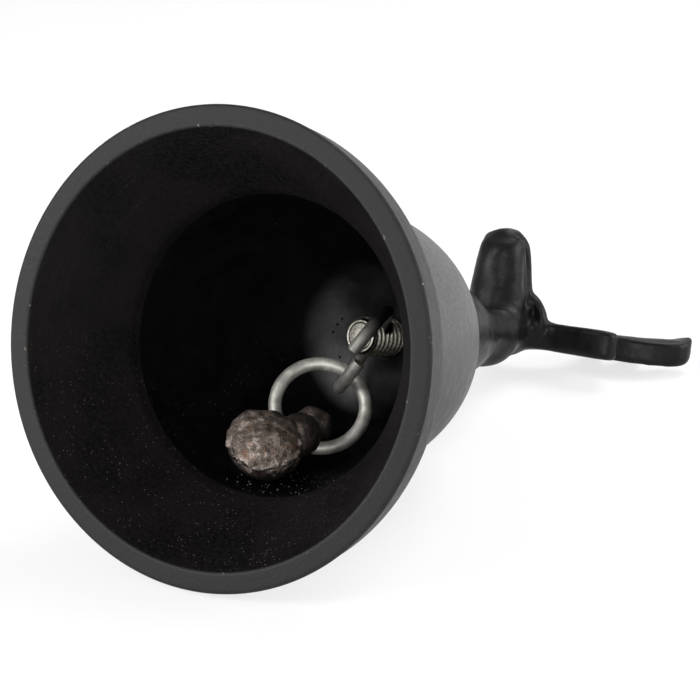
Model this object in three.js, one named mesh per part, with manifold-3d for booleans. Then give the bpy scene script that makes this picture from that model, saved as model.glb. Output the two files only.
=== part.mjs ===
// A cast hand bell with an antlered animal's head as its handle, lying on its side.
// Millimetres. The bell is modelled upright, mouth down at z = 0 and muzzle towards -Y,
// and is then laid down on its rim and its antler tips, with the mouth towards -Y.

import * as THREE from 'three';
import { mergeVertices } from 'three/addons/utils/BufferGeometryUtils.js';
import Module from 'manifold-3d';

const wasm = await Module();
wasm.setup();

// Cup: heights are measured up the bell's axis from the mouth
const rimRadius = 42;
const rimFaceWidth = 3.7;
const rimBevel = 0.3;
const lipHeight = 1.9;
const flareRadius = 41;
const flareHeight = 6.8;
const waistRadius = 27.6;
const waistHeight = 13.5;
const bodyRadius = 26.8;
const bodyHeight = 40.7;
const skirtTopRadius = 28;
const skirtHeight = 18.6;
const ledgeWidth = 0.6;
const cavityRise = 53.6;
const crownRadius = 13.6;
const crownRise = 4.69;
const roundness = 2.1;
const seatRadius = 12.8;

// Threaded stud, screwed up through the crown into the neck, a little out of square
const studDiameter = 7.94;
const threadPitch = 1.41;
const threadDepth = 0.76;
const studReach = 11;
const studInNeck = 11;
const studLeanSide = 8;
const studLeanFront = -1.5;
const crossHoleDiameter = 5;
const crossHoleFromEnd = 5;
const crossHoleTurn = -58;
const fitGap = 0.3;

// Split rings: one turn of wire each, with the cut ends side by side
const ringOuterDiameter = 20.2;
const wireDiameter = 2.6;
const upperRingOffset = 2.3;
const lowerRingOffset = 0.5;
const ringEndsGap = 1.2;
const linkGap = 0.5;

// How the chain lies, in degrees
const upperRingSwing = 26;
const upperRingSplit = 172.5;
const lowerRingPlace = 241;
const lowerRingTurns = [-1, 48, 83];
const lowerRingSplit = 212;
const clapperSwing = -56;

// Clapper, a rough casting: head, shank, and the eye that the lower ring passes through
const clapperLength = 13;
const clapperHeadSize = [15.6, 13.6, 15.6];
const clapperHeadAside = -2.1;
const shankDiameter = 7.6;
const eyeSize = [7, 7.4, 8.2];
const lobeSize = [8.6, 8.2, 8.6];
const lobePlace = [0.8, -3.2, 5.4];
const shoulderSize = [9, 9.4, 10.8];
const shoulderPlace = [1.2, -2.9, -5];
const eyeHoleDiameter = 4.9;
const castingRoughness = 0.25;

// Handle: heights are measured from the foot of the neck, and forward is towards the muzzle
const neckFootRadius = 12.6;
const neckHeight = 55.7;
const headHalfWidth = 6.9;
const muzzleReach = 23.1;
const mouthHeight = 47;
const earSize = [6.8, 11.2, 4.8];
const earPlace = [6.6, 4.4, 51];
const earSlant = 32;
const earHollow = 1.2;
const antlerHeight = 49.7;
const antlerThickness = 5.6;
const antlerRootSwell = 1;
const antlerRootHeight = 12;
const antlerLean = 6.6;
const antlerSpan = 38.4;
const antlerRise = 24.4;
const antlerCupping = 4.4;
const antlerEdge = 1;

const turnSteps = 64;
const wireSides = 12;
const wireSteps = 44;

const radians = THREE.MathUtils.degToRad;
const studRadius = studDiameter / 2;
const ringRadius = (ringOuterDiameter - wireDiameter) / 2;
const cavityRadius = skirtTopRadius - ledgeWidth;
const crownHeight = skirtHeight + cavityRise * domeShare(crownRadius / cavityRadius);
const ceilingHeight = crownHeight + crownRise;
const seatHeight = bodyHeight + bodyHeight * domeShare(seatRadius / bodyRadius);
const studBack = (seatHeight - ceilingHeight) / Math.cos(radians(studLeanSide)) + studInNeck;

// Solids

function solidOf(geometry) {
  const bare = new THREE.BufferGeometry();
  bare.setAttribute('position', geometry.getAttribute('position').clone());
  if (geometry.index) bare.setIndex(geometry.index.clone());
  const merged = mergeVertices(bare, 1e-4);
  return new wasm.Manifold(new wasm.Mesh({
    numProp: 3,
    vertProperties: new Float32Array(merged.getAttribute('position').array),
    triVerts: new Uint32Array(merged.index.array),
  }));
}

function geometryOf(solid) {
  const mesh = solid.getMesh();
  const geometry = new THREE.BufferGeometry();
  geometry.setAttribute('position', new THREE.BufferAttribute(mesh.vertProperties, 3));
  geometry.setIndex(new THREE.BufferAttribute(mesh.triVerts, 1));
  geometry.computeVertexNormals();
  return geometry;
}

function joined(geometries) {
  return geometries.map(solidOf).reduce((sum, part) => sum.add(part));
}

// A lathe profile of [radius, height] points, turned about Z
function turned(points, steps = turnSteps) {
  const profile = points.map(([radius, height]) => new THREE.Vector2(radius, height));
  return new THREE.LatheGeometry(profile, steps).rotateX(Math.PI / 2);
}

// Rings of points, one above the next, closed at both ends
function skinned(rings) {
  const sides = rings[0].length;
  const middleOf = (ring) => ring.reduce((sum, p) => sum.add(p), new THREE.Vector3()).divideScalar(sides);
  const points = [middleOf(rings[0]), ...rings.flat(), middleOf(rings.at(-1))];
  const last = points.length - 1;
  const faces = [];
  for (let j = 0; j < sides; j += 1) {
    const next = (j + 1) % sides;
    faces.push(0, 1 + next, 1 + j);
    faces.push(last, last - sides + j, last - sides + next);
    for (let i = 0; i < rings.length - 1; i += 1) {
      const low = 1 + i * sides;
      const high = low + sides;
      faces.push(low + j, low + next, high + next);
      faces.push(low + j, high + next, high + j);
    }
  }
  const geometry = new THREE.BufferGeometry().setFromPoints(points);
  geometry.setIndex(faces);
  return geometry;
}

function rod(radius, low, high, sides = 32) {
  return new THREE.CylinderGeometry(radius, radius, high - low, sides)
    .rotateX(Math.PI / 2)
    .translate(0, 0, (low + high) / 2);
}

// The domes are superellipses: the share of the radius gives the share of the rise, and back
function domeShare(share) {
  return (1 - share ** roundness) ** (1 / roundness);
}

function domePoints(radius, height, rise, endShare, steps) {
  const lastTurn = Math.acos(endShare);
  return Array.from({ length: steps + 1 }, (_, i) => {
    const share = Math.cos((lastTurn * i) / steps);
    return [radius * share, height + rise * domeShare(share)];
  });
}

// Cup

function outerWall() {
  const flare = new THREE.QuadraticBezierCurve(
    new THREE.Vector2(flareRadius, flareHeight),
    new THREE.Vector2(waistRadius, waistHeight),
    new THREE.Vector2(bodyRadius, bodyHeight),
  );
  return [
    [rimRadius - rimBevel, 0],
    [rimRadius, rimBevel],
    [rimRadius, lipHeight],
    ...flare.getPoints(12).slice(0, -1).map((p) => [p.x, p.y]),
    ...domePoints(bodyRadius, bodyHeight, bodyHeight, seatRadius / bodyRadius, 12),
  ];
}

function innerWall() {
  const mouth = rimRadius - rimFaceWidth;
  return [
    [mouth + rimBevel, 0],
    [mouth, rimBevel],
    [skirtTopRadius, skirtHeight],
    ...domePoints(cavityRadius, skirtHeight, cavityRise, crownRadius / cavityRadius, 14),
    [0, ceilingHeight],
  ];
}

function cup() {
  const profile = [...innerWall().reverse(), ...outerWall(), [0, seatHeight]];
  return geometryOf(solidOf(turned(profile)).subtract(solidOf(studBore())));
}

// Threaded stud: its root is on the cup's axis in the ceiling, and its end hangs into the cup

function studFrame(object) {
  object.position.set(0, 0, ceilingHeight);
  object.rotation.set(radians(studLeanFront), radians(studLeanSide), 0);
  object.updateMatrix();
  return object;
}

function studBore() {
  const bore = rod(studRadius + fitGap, -studRadius, studBack + fitGap);
  return bore.applyMatrix4(studFrame(new THREE.Object3D()).matrix);
}

function threadedStud() {
  const sides = 20;
  const stepsPerPitch = 4;
  const threadLength = studReach + threadPitch;
  const rows = Math.round((threadLength / threadPitch) * stepsPerPitch);
  const core = studRadius - threadDepth;
  const ring = (radiusAt, z) => Array.from({ length: sides }, (_, j) => {
    const turn = (j / sides) * 2 * Math.PI;
    const radius = radiusAt(turn, z);
    return new THREE.Vector3(radius * Math.cos(turn), radius * Math.sin(turn), z);
  });
  const threadRadius = (turn, z) => {
    const phase = ((z / threadPitch - turn / (2 * Math.PI)) % 1 + 1) % 1;
    const crest = studRadius - threadDepth * Math.abs(2 * phase - 1);
    const chamfer = core + (z + studReach);
    return Math.min(crest, Math.max(chamfer, core));
  };
  const rings = [ring(() => core, -studReach)];
  for (let i = 1; i <= rows; i += 1) {
    rings.push(ring(threadRadius, -studReach + (threadLength * i) / rows));
  }
  rings.push(ring(() => studRadius, threadLength - studReach + threadPitch / 2));
  rings.push(ring(() => studRadius, studBack));
  const hole = rod(crossHoleDiameter / 2, -studDiameter, studDiameter)
    .rotateY(Math.PI / 2)
    .rotateZ(radians(crossHoleTurn))
    .translate(0, 0, crossHoleFromEnd - studReach);
  return geometryOf(solidOf(skinned(rings)).subtract(solidOf(hole)));
}

// Split rings: the wire passes through the origin, and the ring hangs from it in the XZ plane
class SplitTurn extends THREE.Curve {
  constructor(split, offset) {
    super();
    this.split = split;
    this.offset = offset;
    this.halfGap = THREE.MathUtils.radToDeg(ringEndsGap / ringRadius) / 2;
  }

  getPoint(t, target = new THREE.Vector3()) {
    const turn = this.halfGap + t * (360 - 2 * this.halfGap);
    const place = radians(this.split + turn);
    const aside = this.offset * (1 - (this.split + turn) / 360);
    return target.set(ringRadius * Math.sin(place), aside, ringRadius * (Math.cos(place) - 1));
  }
}

function splitRing(split, offset) {
  const section = new THREE.Shape().absarc(0, 0, wireDiameter / 2, 0, 2 * Math.PI);
  const bent = new THREE.ExtrudeGeometry(section, {
    extrudePath: new SplitTurn(split, offset),
    steps: wireSteps,
    curveSegments: wireSides,
  });
  return geometryOf(solidOf(bent));
}

// Clapper: its eye is at the origin, the hole runs along X, and the head hangs towards -Z

function lump(size, place, detail = 5) {
  const geometry = new THREE.IcosahedronGeometry(1, detail);
  const points = geometry.getAttribute('position');
  const p = new THREE.Vector3();
  for (let i = 0; i < points.count; i += 1) {
    p.fromBufferAttribute(points, i);
    const swell = Math.sin(3.1 * p.x + 2.3 * p.y)
      + Math.sin(4.3 * p.z - 2.9 * p.x)
      + Math.sin(3.7 * p.y + 2.1 * p.z);
    p.multiply(new THREE.Vector3(...size)).multiplyScalar(0.5);
    p.addScaledVector(p.clone().normalize(), (castingRoughness * swell) / 3 - castingRoughness);
    points.setXYZ(i, p.x, p.y, p.z);
  }
  return geometry.translate(...place);
}

function clapper() {
  const shank = new THREE.CylinderGeometry(shankDiameter / 2, shankDiameter / 2 + 0.6, clapperLength, 20, 4)
    .rotateX(Math.PI / 2)
    .translate(clapperHeadAside / 2, 0, -clapperLength / 2);
  const body = joined([
    lump(clapperHeadSize, [clapperHeadAside, 0, -clapperLength]),
    shank,
    lump(eyeSize, [0, 0, 0], 4),
    lump(lobeSize, lobePlace, 4),
    lump(shoulderSize, shoulderPlace, 4),
  ]);
  const holeReach = eyeSize[0] + lobeSize[0];
  const hole = rod(eyeHoleDiameter / 2, -holeReach, holeReach).rotateY(Math.PI / 2);
  return geometryOf(body.subtract(solidOf(hole)));
}

// Handle: neck, head, ears and antlers in one casting

// Round sections up the neck to the nape: each is [height, radius, how far back], the height a
// share of the neck's and the others shares of its foot's radius
function neck() {
  const sides = 40;
  const sections = [
    [0, 1, 0], [0.14, 0.99, -0.02], [0.27, 0.93, -0.02], [0.34, 0.86, -0.01], [0.41, 0.77, 0.01],
    [0.48, 0.68, 0.03], [0.55, 0.6, 0.06], [0.62, 0.55, 0.09], [0.69, 0.56, 0.09],
    [0.76, 0.61, 0.03], [0.84, 0.56, -0.03], [0.92, 0.43, -0.05], [0.98, 0.23, -0.05],
  ];
  const rings = sections.map(([height, radius, back]) => (
    Array.from({ length: sides }, (_, j) => {
      const turn = (j / sides) * 2 * Math.PI;
      return new THREE.Vector3(
        neckFootRadius * radius * Math.cos(turn),
        neckFootRadius * (back + radius * Math.sin(turn)),
        neckHeight * height,
      );
    })
  ));
  return skinned(rings);
}

// Sections from the back of the head to the nose: each is [place, lowest height and highest
// height from the mouth line, breadth], the last a share of the head's half width and the
// others shares of the muzzle's reach
function headLobe(sections) {
  const sides = 24;
  const rings = sections.map(([place, low, high, breadth]) => (
    Array.from({ length: sides }, (_, j) => {
      const turn = (j / sides) * 2 * Math.PI;
      return new THREE.Vector3(
        headHalfWidth * breadth * Math.cos(turn),
        -place * muzzleReach,
        mouthHeight + muzzleReach * ((low + high) / 2 + ((high - low) / 2) * Math.sin(turn)),
      );
    })
  ));
  return skinned(rings);
}

function snout() {
  return headLobe([
    [-0.27, 0.11, 0.27, 0.26],
    [-0.22, -0.06, 0.42, 0.61],
    [-0.09, -0.19, 0.51, 0.9],
    [0.09, -0.26, 0.49, 1],
    [0.26, -0.12, 0.4, 0.99],
    [0.43, -0.08, 0.32, 0.9],
    [0.61, -0.07, 0.26, 0.77],
    [0.78, -0.07, 0.2, 0.66],
    [0.91, -0.06, 0.17, 0.57],
    [0.98, -0.03, 0.11, 0.38],
    [1, 0.01, 0.06, 0.13],
  ]);
}

function jaw() {
  return headLobe([
    [0.02, -0.22, 0.04, 0.75],
    [0.09, -0.26, 0.12, 0.9],
    [0.26, -0.29, 0.12, 0.96],
    [0.43, -0.29, 0.1, 0.86],
    [0.61, -0.26, 0.08, 0.73],
    [0.78, -0.23, 0.06, 0.62],
    [0.91, -0.2, 0.04, 0.54],
    [0.97, -0.14, 0.01, 0.35],
  ]);
}

function ear(side) {
  const [aside, forward, height] = earPlace;
  const [width, length, depth] = earSize;
  const shell = new THREE.SphereGeometry(0.5, 20, 14).scale(width, length, depth);
  const hollow = new THREE.SphereGeometry(0.5, 20, 14)
    .scale(width - 2 * earHollow, length - 2 * earHollow, depth)
    .translate(width * 0.1, 0, -depth * 0.62);
  const cupped = solidOf(shell).subtract(solidOf(hollow));
  return geometryOf(cupped)
    .rotateZ(radians(-earSlant * side))
    .translate(side * aside, -forward, height);
}

// The antler's outline in shares: [of its span from the middle of the head, of its rise]
function antlerOutline(side) {
  const points = [
    [0.08, -0.04], [0.26, 0.06], [0.42, 0.02], [0.57, -0.02], [0.68, 0.02], [0.71, 0.12],
    [0.65, 0.27], [0.56, 0.37], [0.73, 0.45], [0.89, 0.58], [1, 0.76], [0.99, 0.92],
    [0.91, 0.96], [0.82, 0.88], [0.72, 0.75], [0.7, 0.91], [0.64, 1], [0.57, 0.93],
    [0.53, 0.73], [0.47, 0.85], [0.39, 0.93], [0.34, 0.84], [0.33, 0.59], [0.18, 0.41],
    [0.08, 0.33],
  ];
  const curve = new THREE.CatmullRomCurve3(
    points.map(([out, up]) => new THREE.Vector3(side * out * antlerSpan, up * antlerRise, 0)),
    true,
  );
  return new THREE.Shape(curve.getPoints(3 * points.length).slice(0, -1));
}

// A flat plate, thicker at its root, that leans back and is cupped forward at its outer tip
function antler(side) {
  const plate = new THREE.ExtrudeGeometry(antlerOutline(side), {
    depth: antlerThickness - 2 * antlerEdge,
    bevelThickness: antlerEdge,
    bevelSize: antlerEdge,
    bevelOffset: -antlerEdge,
    bevelSegments: 2,
  })
    .translate(0, 0, antlerEdge - antlerThickness / 2)
    .rotateX(Math.PI / 2);
  const points = plate.getAttribute('position');
  for (let i = 0; i < points.count; i += 1) {
    const up = points.getZ(i);
    const rootShare = THREE.MathUtils.clamp(1 - up / antlerRootHeight, 0, 1);
    const swell = (antlerRootSwell / antlerThickness) * rootShare;
    const lean = up * Math.tan(radians(antlerLean));
    const tipShare = Math.max(0, (Math.abs(points.getX(i)) / antlerSpan) * (up / antlerRise));
    const cupped = antlerCupping * tipShare ** 4;
    points.setY(i, points.getY(i) * (1 + swell) + lean - cupped);
  }
  return plate.translate(0, 0, antlerHeight);
}

function handle() {
  const foot = seatHeight + fitGap;
  const casting = joined([neck(), snout(), jaw(), ear(1), ear(-1), antler(1), antler(-1)]);
  return geometryOf(casting.translate(0, 0, foot).subtract(solidOf(studBore())));
}

// Assembly

function finish(color, roughness, metalness) {
  return new THREE.MeshStandardMaterial({ color, roughness, metalness });
}

function piece(name, geometry, material) {
  const mesh = new THREE.Mesh(geometry, material);
  mesh.name = name;
  return mesh;
}

const steel = () => finish(0x9a978c, 0.36, 0.9);

function lowerRingWithClapper() {
  const lowerRing = new THREE.Group();
  const place = radians(lowerRingPlace);
  const hang = ringRadius - wireDiameter - linkGap;
  lowerRing.position.set(hang * Math.sin(place), 0, hang * Math.cos(place) - ringRadius);
  lowerRing.rotation.set(...lowerRingTurns.map(radians));
  lowerRing.add(piece('lower_ring', splitRing(lowerRingSplit, lowerRingOffset), steel()));
  const swing = new THREE.Group();
  swing.position.z = -2 * ringRadius;
  swing.rotation.x = radians(clapperSwing);
  swing.add(piece('clapper', clapper(), finish(0x5a4a42, 0.75, 0.4)));
  lowerRing.add(swing);
  return lowerRing;
}

function studWithChain() {
  const stud = studFrame(new THREE.Group());
  stud.add(piece('threaded_stud', threadedStud(), finish(0xb9b4a4, 0.35, 0.9)));
  const upperRing = new THREE.Group();
  upperRing.position.z = crossHoleFromEnd - studReach;
  upperRing.rotation.set(0, 0, radians(crossHoleTurn));
  const swing = new THREE.Group();
  swing.rotation.x = radians(upperRingSwing);
  swing.add(piece('upper_ring', splitRing(upperRingSplit, upperRingOffset), steel()));
  swing.add(lowerRingWithClapper());
  upperRing.add(swing);
  stud.add(upperRing);
  return stud;
}

// How far a piece reaches towards the table when the axis slopes down by a tilt
function reachDown(mesh, tilt) {
  const points = mesh.geometry.getAttribute('position');
  let reach = 0;
  for (let i = 0; i < points.count; i += 1) {
    reach = Math.max(reach, points.getY(i) * Math.cos(tilt) + points.getZ(i) * Math.sin(tilt));
  }
  return reach;
}

// The tilt at which the cup and the handle touch the table together
function lyingTilt(cupMesh, handleMesh) {
  let low = 0;
  let high = Math.PI / 4;
  for (let i = 0; i < 40; i += 1) {
    const tilt = (low + high) / 2;
    if (reachDown(handleMesh, tilt) < reachDown(cupMesh, tilt)) low = tilt;
    else high = tilt;
  }
  return low;
}

function bell() {
  const upright = new THREE.Group();
  const black = () => finish(0x1d1d1f, 0.5, 0.3);
  const cupMesh = piece('bell_cup', cup(), black());
  const handleMesh = piece('antlered_handle', handle(), black());
  upright.add(cupMesh, handleMesh, studWithChain());
  upright.rotation.x = -Math.PI / 2 - lyingTilt(cupMesh, handleMesh);
  const standing = new THREE.Group();
  standing.add(upright);
  standing.updateMatrixWorld(true);
  const box = new THREE.Box3().setFromObject(standing, true);
  standing.position.set(0, -(box.min.y + box.max.y) / 2, -box.min.z);
  return standing;
}

export default bell();
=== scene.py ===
import math

import bmesh
import bpy
import numpy as np
from mathutils import Matrix, Vector, noise

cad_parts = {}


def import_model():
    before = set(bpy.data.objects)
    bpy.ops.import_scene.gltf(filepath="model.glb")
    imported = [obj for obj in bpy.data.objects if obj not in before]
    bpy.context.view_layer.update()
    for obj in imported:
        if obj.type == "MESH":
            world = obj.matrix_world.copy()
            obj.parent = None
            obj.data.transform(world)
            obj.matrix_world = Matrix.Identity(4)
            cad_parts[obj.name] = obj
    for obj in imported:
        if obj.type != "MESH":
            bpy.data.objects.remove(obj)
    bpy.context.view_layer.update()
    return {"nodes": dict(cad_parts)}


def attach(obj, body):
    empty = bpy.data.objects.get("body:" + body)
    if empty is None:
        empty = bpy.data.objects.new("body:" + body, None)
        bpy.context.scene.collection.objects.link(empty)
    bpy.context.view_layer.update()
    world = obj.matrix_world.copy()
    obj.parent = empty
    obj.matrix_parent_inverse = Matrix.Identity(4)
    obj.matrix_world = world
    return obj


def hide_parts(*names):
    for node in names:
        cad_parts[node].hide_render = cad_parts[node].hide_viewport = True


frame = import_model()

MM = 0.001

# The bell is made upright, mouth down and muzzle towards -Y, and laid down by this tilt.
TILT_SIN, TILT_COS = 0.24378, 0.969831
LYING = Matrix((
    (1, 0, 0, 0),
    (0, -TILT_SIN, TILT_COS, -0.068316885),
    (0, -TILT_COS, -TILT_SIN, 0.041420758),
    (0, 0, 0, 1),
))

# Cup: millimetres, heights are up its axis from the mouth, FLARE has radius and height
RIM_RADIUS, RIM_FACE, LIP_HEIGHT, LIP_TAPER = 42.0, 3.7, 1.9, 0.7
BODY_RADIUS, BODY_HEIGHT = 26.8, 40.7
FLARE = ((41.0, 6.8), (27.6, 13.5), (BODY_RADIUS, BODY_HEIGHT))
SKIRT_RADIUS, SKIRT_HEIGHT, LEDGE = 28.0, 18.6, 0.6
CAVITY_RISE, ROUNDNESS, SEAT_RADIUS = 53.6, 2.1, 12.8
CROWN_RADIUS, CROWN_RISE = 13.6, 4.69
CROWN_SHARE = CROWN_RADIUS / (SKIRT_RADIUS - LEDGE)
CROWN_HEIGHT = SKIRT_HEIGHT + CAVITY_RISE * (1 - CROWN_SHARE ** ROUNDNESS) ** (1 / ROUNDNESS)
CEILING = CROWN_HEIGHT + CROWN_RISE
BORE_CLEARANCE = 0.3
TURNED_LINES = (2.6, 3.3, 4.5, 5.6, 9.8)

# Stud, rings and clapper: millimetres and degrees
STUD_DIAMETER, PITCH, THREAD_DEPTH, STUD_REACH, STUD_TOP = 7.94, 1.41, 0.76, 11.0, 13.0
STUD_LEAN = (-1.5, 8.0)
HOLE_FROM_END, HOLE_DIAMETER, HOLE_TURN = 5.0, 5.0, -58.0
RING_RADIUS, WIRE_RADIUS, ENDS_GAP = 8.8, 1.3, 1.2
UPPER_TILT, UPPER_SPLIT, UPPER_OFFSET = 26, 172.5, 2.3
LOWER_TURNS, LOWER_SPLIT, LOWER_OFFSET = (-1, 48, 83), 212, 0.5
LINK_CLEARANCE, LINK_PLACE = 0.5, math.radians(241)
CLAPPER_SWING, HEAD_OFFSET, HEAD_RADIUS, FACE_RISE = -56, (-2.1, 0, -13), 8.2, math.radians(40)

# Handle, places in the upright bell's frame
MOUTH_LINE = [
    (0.4, -24.2, 121.6), (2.9, -22.4, 122.1), (4.6, -19.6, 123.4),
    (5.4, -14.8, 125.0), (6.0, -10.5, 125.4), (6.4, -6.5, 124.9),
]
MUZZLE_BASE, MUZZLE_END, MUZZLE_HEIGHT = -7, -19, 122
JAW_LOBE, EAR_ROOT, THROAT_SIDE = (1.0, -7.5, 117.5), (7.2, -4.6, 127.6), (5.3, 6.0, 112.0)
MUZZLE_TIP, UPPER_LIP, CHIN = (0, -23.5, 121.5), (0.4, -23.6, 121.4), (0, -16.4, 117.6)
NECK_MIDDLE = 97

# Crumbs of scale: how many, how high up, how far round the cup, and how large
CRUMB_COUNT, CRUMB_HEIGHTS, CRUMB_ANGLES, CRUMB_SIZES = 90, (22, 41), (68, 106), (0.07, 0.2)

# Camera: the photograph's, in the upright bell's frame and in metres
CAMERA_SPOT, CAMERA_RIGHT = (0.17509, -0.03807, -0.29254), (0.8806, -0.1162, 0.4594)
CAMERA_DOWN = (0.1504, 0.9879, -0.0384)
FOCAL_PIXELS, PHOTO_PIXELS, SENSOR = 2000, 700, 36


# Placing

def turn(degrees, axis):
    return Matrix.Rotation(math.radians(degrees), 4, axis)


def move(x, y, z):
    return Matrix.Translation((x * MM, y * MM, z * MM))


STUD = LYING @ move(0, 0, CEILING) @ turn(STUD_LEAN[0], "X") @ turn(STUD_LEAN[1], "Y")
UPPER_RING = (
    STUD
    @ move(0, 0, HOLE_FROM_END - STUD_REACH)
    @ turn(HOLE_TURN, "Z") @ turn(UPPER_TILT, "X")
)
HANG = RING_RADIUS - 2 * WIRE_RADIUS - LINK_CLEARANCE
LOWER_RING = (
    UPPER_RING
    @ move(HANG * math.sin(LINK_PLACE), 0, HANG * math.cos(LINK_PLACE) - RING_RADIUS)
    @ turn(LOWER_TURNS[0], "X") @ turn(LOWER_TURNS[1], "Y") @ turn(LOWER_TURNS[2], "Z")
)
CLAPPER = LOWER_RING @ move(0, 0, -2 * RING_RADIUS) @ turn(CLAPPER_SWING, "X")


def camera_matrix():
    right = Vector(CAMERA_RIGHT).normalized()
    down = Vector(CAMERA_DOWN)
    down = (down - right * down.dot(right)).normalized()
    back = right.cross(-down)
    turned = Matrix((right, -down, back)).transposed().to_4x4()
    return LYING @ Matrix.Translation(CAMERA_SPOT) @ turned


def clapper_face():
    """The way the clapper's flattened face looks, out of the mouth and a little up."""
    view = (CAMERA_PLACE - Vector(CLAPPER_HEAD) * MM).normalized()
    up = (Vector((0, 0, 1)) - view * view.z).normalized()
    return view * math.cos(FACE_RISE) + up * math.sin(FACE_RISE)


CAMERA = camera_matrix()
CAMERA_PLACE = CAMERA.to_translation()
CLAPPER_HEAD = CLAPPER @ move(*HEAD_OFFSET).to_translation() / MM
CLAPPER_FACE = clapper_face()

# Places on the clapper and the upper ring where painted shade is laid or lifted, millimetres in
# the row
EYE_TOP = (-4.5, -26.0, 16.5)
CLAPPER_SHADOW_SPOTS = [(-1.5, -34.4, 18.9), (-2.6, -38.5, 20.8)]
WIRE_SHADOW_SPOTS = [(6.7, -13.7, 34.5), (6.8, -16.0, 34.2)]


# Meshes

def to_row(points, matrix):
    """Millimetres in the frame of matrix, as metres in the row's frame."""
    m = np.array(matrix)
    return np.asarray(points, float) * MM @ m[:3, :3].T + m[:3, 3]


def from_row(points, matrix):
    m = np.array(matrix.inverted())
    return (np.asarray(points, float) @ m[:3, :3].T + m[:3, 3]) / MM


def mesh_piece(name, points, faces, matrix, materials, indices=None):
    """A piece from points in millimetres of the frame of matrix. Its mesh holds its place."""
    mesh = bpy.data.meshes.new(name)
    mesh.from_pydata(to_row(points, matrix).tolist(), [], faces)
    for material in materials:
        mesh.materials.append(material)
    if indices is not None:
        mesh.polygons.foreach_set("material_index", indices)
    mesh.polygons.foreach_set("use_smooth", [True] * len(mesh.polygons))
    mesh.update()
    piece = bpy.data.objects.new(name, mesh)
    bpy.context.collection.objects.link(piece)
    return piece


def finish_piece(piece, body, slot, *nodes):
    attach(piece, body)
    if nodes:
        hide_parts(*nodes)


def dense(profile, step):
    """The same profile with no two neighbouring points further apart than step."""
    points = [np.array(profile[0], float)]
    for a, b in zip(profile[:-1], profile[1:]):
        a, b = np.array(a, float), np.array(b, float)
        count = max(1, int(math.ceil(np.linalg.norm(b - a) / step)))
        points += [a + (b - a) * (i + 1) / count for i in range(count)]
    return np.array(points)


def dome(radius, height, rise, end_share, steps):
    """A rounded profile from the radius at a height, ending at a share of that radius."""
    last = math.acos(end_share)
    shares = [math.cos(last * i / steps) for i in range(steps + 1)]
    return [
        (radius * s, height + rise * (1 - s ** ROUNDNESS) ** (1 / ROUNDNESS)) for s in shares
    ]


def bent(a, b, c, steps):
    """A smooth curve from a to c, drawn towards b."""
    a, b, c = (np.array(p, float) for p in (a, b, c))
    share = np.linspace(0, 1, steps + 1)[:, None]
    return ((1 - share) ** 2 * a + 2 * share * (1 - share) * b + share ** 2 * c).tolist()


def corner(at, before, after, size, steps=4):
    """Points that round a corner of a profile."""
    at, before, after = (np.array(p, float) for p in (at, before, after))
    start = at + (before - at) / np.linalg.norm(before - at) * size
    end = at + (after - at) / np.linalg.norm(after - at) * size
    return bent(start, at, end, steps)


def apply_modifiers(piece):
    graph = bpy.context.evaluated_depsgraph_get()
    mesh = bpy.data.meshes.new_from_object(piece.evaluated_get(graph))
    piece.modifiers.clear()
    piece.data = mesh


def cut(piece, cutter):
    """Takes the cutter out of the piece."""
    modifier = piece.modifiers.new("cut", "BOOLEAN")
    modifier.operation = "DIFFERENCE"
    modifier.solver = "EXACT"
    modifier.object = cutter
    bpy.context.view_layer.update()
    apply_modifiers(piece)
    bpy.data.objects.remove(cutter)


def circle(radius, z, sides):
    angles = [2 * math.pi * i / sides for i in range(sides)]
    return [(radius * math.cos(a), radius * math.sin(a), z) for a in angles]


def tube_faces(rings, sides):
    """The faces between so many neighbouring rings of points."""
    faces = []
    for i in range(rings - 1):
        low, high = i * sides, (i + 1) * sides
        for j in range(sides):
            k = (j + 1) % sides
            faces.append((low + j, low + k, high + k, high + j))
    return faces


def rod(radius, low, high, matrix, material, sides=48):
    """A round cutter along the Z axis of matrix."""
    points = circle(radius, low, sides) + circle(radius, high, sides)
    faces = tube_faces(2, sides)
    faces += [tuple(reversed(range(sides))), tuple(range(sides, 2 * sides))]
    return mesh_piece("cutter", points, faces, matrix, [material])


def fractal(p, scale, octaves):
    """Smooth noise about zero, p in millimetres and scale the size of its largest bumps."""
    return noise.fractal(Vector(p) / scale, 1.0, 2.0, octaves)


def bump(distance, reach):
    """1 at no distance, falling smoothly to 0 at reach."""
    share = np.clip(1 - np.asarray(distance) / reach, 0, 1)
    return share * share * (3 - 2 * share)


def inner_radius(height):
    """The radius of the hollow at a height above the skirt: the wall, then the shallow crown."""
    height = np.asarray(height)
    share = np.clip((height - SKIRT_HEIGHT) / CAVITY_RISE, 0, 1)
    wall = (SKIRT_RADIUS - LEDGE) * (1 - share ** ROUNDNESS) ** (1 / ROUNDNESS)
    crown = CROWN_RADIUS * np.clip((CEILING - height) / CROWN_RISE, 0, None)
    return np.minimum(wall, np.where(height > CROWN_HEIGHT, crown, wall))


# Materials

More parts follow.
